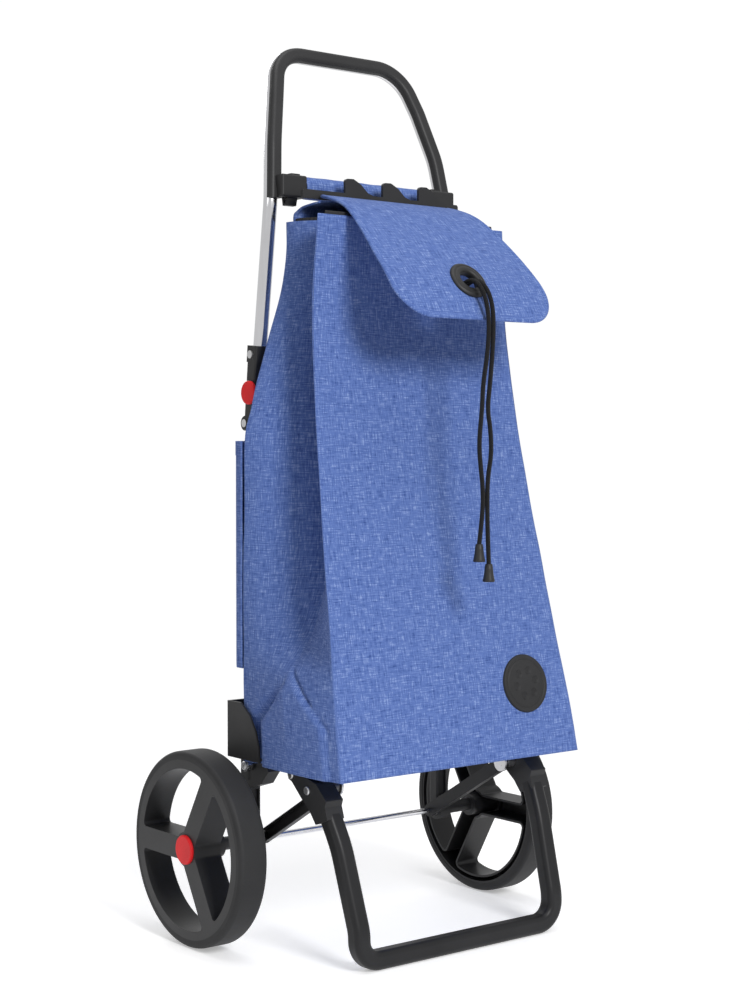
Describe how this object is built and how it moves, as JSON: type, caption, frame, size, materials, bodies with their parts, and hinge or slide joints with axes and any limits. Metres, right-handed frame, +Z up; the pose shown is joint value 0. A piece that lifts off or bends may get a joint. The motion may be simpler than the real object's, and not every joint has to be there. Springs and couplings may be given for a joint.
{
  "type": "shopping trolley",
  "caption": "Folding shopping trolley: tall tapered fabric bag under a drawstring flap, on a tube frame with spoked wheels, a wire platform, a folding leg frame and a loop handle.",
  "frame": {"origin": "on the ground, under the middle of the bounding box without the free cords", "axes": "+X to the right, +Y to the rear, +Z up"},
  "size_m": [0.4724, 0.3576, 1.0281],
  "materials": {
    "black_plastic": "fine grain",
    "tyre_rubber": "matte",
    "red_plastic": "satin",
    "chrome_tube": "polished",
    "steel": "zinc plated",
    "black_enamel": "satin powder coat",
    "nylon": "smooth",
    "blue_fabric": "coarse melange weave",
    "black_fabric": "woven",
    "board": "smooth"
  },
  "bodies": {
    "chassis": {"column_left": "black_plastic", "column_right": "black_plastic", "lower_tube_left": "chrome_tube", "lower_tube_right": "chrome_tube", "axle_rod": "chrome_tube", "axle_clips": "steel", "axle_spacer_left": "black_plastic", "axle_spacer_right": "black_plastic", "strut_collars": "steel", "rear_guard": "black_plastic", "guard_screws": "steel", "platform_pins": "steel", "bag_body": "blue_fabric", "bag_collar": "black_fabric", "bag_pocket": "blue_fabric", "bag_badge": "tyre_rubber", "comb_rail": "black_plastic", "flap_root": "blue_fabric"},
    "wheel_left": {"rim_left": "black_plastic", "tyre_left": "tyre_rubber", "hub_cap_left": "red_plastic", "hub_bush_left": "nylon"},
    "wheel_right": {"rim_right": "black_plastic", "tyre_right": "tyre_rubber", "hub_cap_right": "red_plastic", "hub_bush_right": "nylon"},
    "platform": {"platform_rod": "chrome_tube", "bag_base_board": "board", "leg_pivot_rivets": "steel"},
    "legs": {"leg_tube": "black_enamel", "leg_end_left": "black_plastic", "leg_end_right": "black_plastic", "strut_rivets": "steel"},
    "struts": {"strut_left": "black_enamel", "strut_right": "black_enamel"},
    "handle": {"handle_tube": "chrome_tube", "handle_grip": "black_plastic", "crossbar": "chrome_tube", "crossbar_bracket_left": "black_plastic", "crossbar_bracket_right": "black_plastic", "crossbar_sleeve": "blue_fabric", "hinge_link_left": "black_plastic", "hinge_link_right": "black_plastic", "lower_hinge_rivets": "steel", "upper_hinge_rivets": "steel", "hinge_locks": "black_plastic", "button_springs": "steel"},
    "button_left": {"release_button_left": "red_plastic"},
    "button_right": {"release_button_right": "red_plastic"},
    "flap": {"bag_flap": "blue_fabric", "eyelet": "black_plastic", "cord_left": "black_fabric", "cord_right": "black_fabric", "cord_end_left": "black_plastic", "cord_end_right": "black_plastic", "cord_knot": "black_fabric"}
  },
  "joints": [
    {"name": "wheel_left_spin", "type": "hinge", "parent": "chassis", "child": "wheel_left", "pos_m": [-0.2146, 0.061, 0.11], "axis": [1, 0, 0], "continuous": true},
    {"name": "wheel_right_spin", "type": "hinge", "parent": "chassis", "child": "wheel_right", "pos_m": [0.2146, 0.061, 0.11], "axis": [1, 0, 0], "continuous": true},
    {"name": "platform_fold", "type": "hinge", "parent": "chassis", "child": "platform", "pos_m": [0, 0.052, 0.198], "axis": [-1, 0, 0], "range_deg": [0, 42], "deforming": ["bag_body"]},
    {"name": "leg_fold", "type": "hinge", "parent": "platform", "child": "legs", "pos_m": [0, -0.043, 0.2015], "axis": [1, 0, 0], "range_deg": [0, 80]},
    {"name": "strut_fold", "type": "hinge", "parent": "chassis", "child": "struts", "pos_m": [0, 0.061, 0.11], "axis": [-1, 0, 0], "range_deg": [0, 23.7]},
    {"name": "handle_fold", "type": "hinge", "parent": "chassis", "child": "handle", "pos_m": [0, 0.07, 0.588], "axis": [-1, 0, 0], "range_deg": [0, 168]},
    {"name": "button_left_press", "type": "slide", "parent": "handle", "child": "button_left", "axis": [1, 0, 0], "range_m": [0, 0.002], "stiffness_N_per_m": 800, "springref_m": -0.001},
    {"name": "button_right_press", "type": "slide", "parent": "handle", "child": "button_right", "axis": [-1, 0, 0], "range_m": [0, 0.002], "stiffness_N_per_m": 800, "springref_m": -0.001},
    {"name": "flap_open", "type": "hinge", "parent": "chassis", "child": "flap", "pos_m": [0, -0.0065, 0.8432], "axis": [-1, 0, 0], "range_deg": [0, 100], "stiffness_Nm_per_rad": 0.4, "springref_deg": -17.19}
  ],
  "couplings": [
    {"joint": "leg_fold", "follows": "platform_fold", "ratio": 1.9},
    {"joint": "strut_fold", "follows": "platform_fold", "ratio": 0.56}
  ]
}
